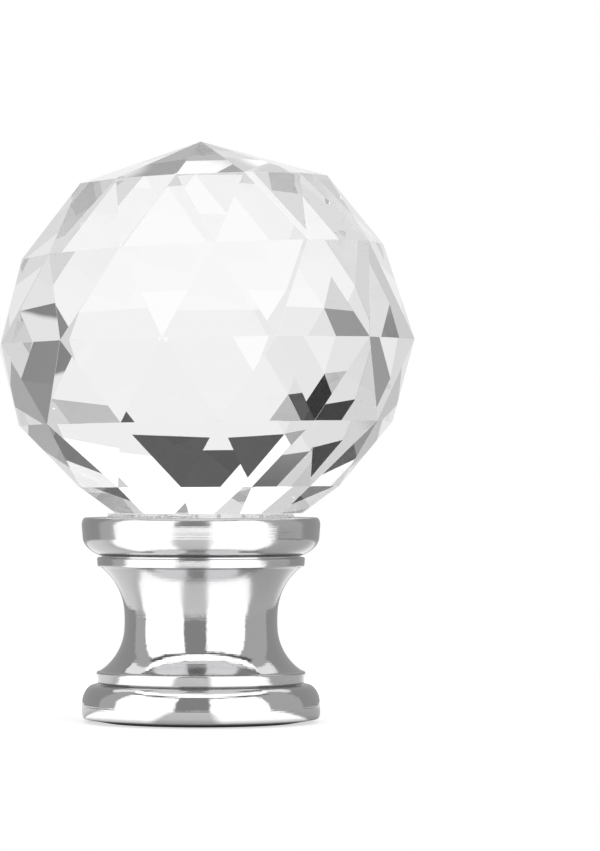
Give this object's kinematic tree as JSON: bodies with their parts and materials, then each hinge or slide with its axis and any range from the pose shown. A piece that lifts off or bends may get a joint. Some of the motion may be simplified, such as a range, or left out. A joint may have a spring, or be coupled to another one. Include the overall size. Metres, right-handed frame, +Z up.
{
  "type": "lamp shade finial",
  "caption": "Faceted clear crystal ball on a turned chrome base with a tapped hole, screwed on a lamp harp to hold the shade.",
  "frame": {"origin": "on the turned base's axis, at the underside of the foot", "axes": "+Z up along the base's axis and its tapped hole, towards the crystal ball's tip; -Y faces the viewer of the picture, +X is to the right there"},
  "size_m": [0.0273, 0.0272, 0.0381],
  "materials": {
    "crystal_glass": "clear polished crystal, cut in flat facets",
    "chrome_plate": "bright polished plating over turned metal"
  },
  "bodies": {
    "root": {"crystal_ball": "crystal_glass", "metal_base": "chrome_plate"}
  },
  "joints": []
}
